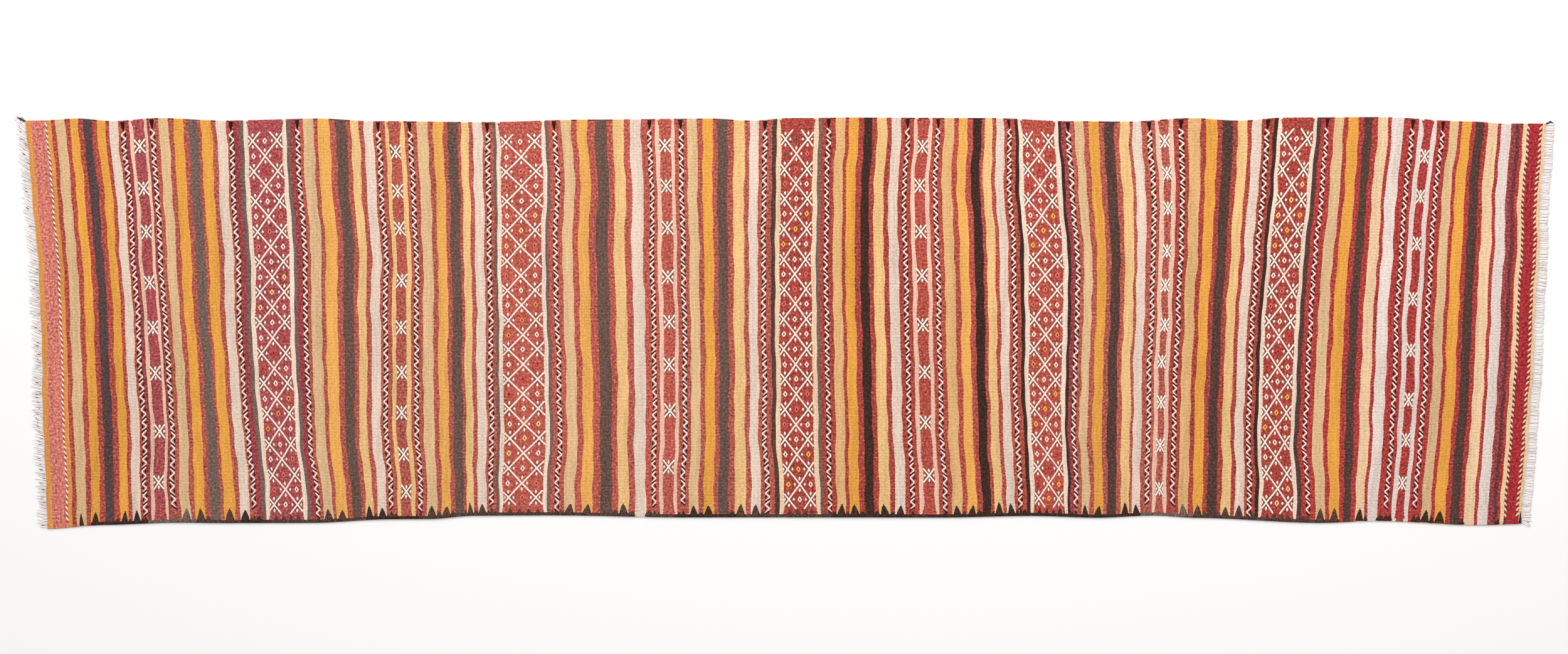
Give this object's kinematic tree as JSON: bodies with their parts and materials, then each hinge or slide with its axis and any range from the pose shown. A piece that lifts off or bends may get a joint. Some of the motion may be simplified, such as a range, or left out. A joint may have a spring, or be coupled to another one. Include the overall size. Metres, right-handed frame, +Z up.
{
  "type": "runner rug",
  "caption": "Long narrow flat-woven wool runner with cross stripes, star and lattice brocading, a toothed dark selvedge, fringed ends, and ends that fold back over the middle.",
  "frame": {"origin": "centre of the underside of the rug laid flat, fringes included", "axes": "+X along the warps towards the deep red end, +Y across to the straight selvedge, +Z up out of the face"},
  "size_m": [3.0789, 0.8, 0.0041],
  "materials": {
    "striped_wool": "matt packed wool, ribbed along the warps, in stripes of orange, straw tan, pale yellow, pinkish cream, grey-brown and brick red",
    "brick_red_wool": "matt packed wool with small changes of shade from dye lot to dye lot",
    "faded_red_wool": "matt packed wool, sun faded and mottled pink",
    "deep_red_wool": "matt packed wool, strong crimson",
    "cream_wool": "matt handspun wool floats, soft and slightly raised",
    "dark_wool": "matt dark brown wool, worn lighter on the ribs",
    "undyed_wool": "undyed plied warp yarn, bluish white"
  },
  "bodies": {
    "middle": {"far_selvedge_middle": "brick_red_wool", "lattice_band_2": "brick_red_wool", "lattice_band_3": "brick_red_wool", "lattice_band_4": "brick_red_wool", "lattice_brocade_2": "cream_wool", "lattice_brocade_3": "cream_wool", "lattice_brocade_4": "cream_wool", "near_selvedge_middle": "dark_wool", "star_band_2": "brick_red_wool", "star_band_3": "brick_red_wool", "star_band_4": "brick_red_wool", "star_band_5": "brick_red_wool", "star_brocade_2": "cream_wool", "star_brocade_3": "cream_wool", "star_brocade_4": "cream_wool", "star_brocade_5": "cream_wool", "stripe_field_10_inner": "striped_wool", "stripe_field_3_inner": "striped_wool", "stripe_field_4": "striped_wool", "stripe_field_5": "striped_wool", "stripe_field_6": "striped_wool", "stripe_field_7": "striped_wool", "stripe_field_8": "striped_wool", "stripe_field_9": "striped_wool", "warps_middle": "undyed_wool"},
    "left_end": {"end_band_left": "faded_red_wool", "far_selvedge_left_end": "brick_red_wool", "fringe_left": "undyed_wool", "lattice_band_1": "brick_red_wool", "lattice_brocade_1": "cream_wool", "near_selvedge_left_end": "dark_wool", "star_band_1": "brick_red_wool", "star_brocade_1": "cream_wool", "stripe_field_1": "striped_wool", "stripe_field_2": "striped_wool", "stripe_field_3_outer": "striped_wool", "twining_left": "cream_wool", "warps_left_end": "undyed_wool"},
    "right_end": {"end_band_right": "deep_red_wool", "far_selvedge_right_end": "brick_red_wool", "fringe_right": "undyed_wool", "lattice_band_5": "brick_red_wool", "lattice_brocade_5": "cream_wool", "near_selvedge_right_end": "dark_wool", "star_band_6": "brick_red_wool", "star_brocade_6": "cream_wool", "stripe_field_10_outer": "striped_wool", "stripe_field_11": "striped_wool", "stripe_field_12": "striped_wool", "twining_right_inner": "cream_wool", "twining_right_outer": "cream_wool", "warps_right_end": "undyed_wool"}
  },
  "joints": [
    {"name": "left_end_fold", "type": "hinge", "parent": "middle", "child": "left_end", "pos_m": [-0.83562, 0, 0.005], "axis": [0, 1, 0], "range_deg": [0, 180]},
    {"name": "right_end_fold", "type": "hinge", "parent": "middle", "child": "right_end", "pos_m": [0.82213, 0, 0.005], "axis": [0, -1, 0], "range_deg": [0, 180]}
  ]
}
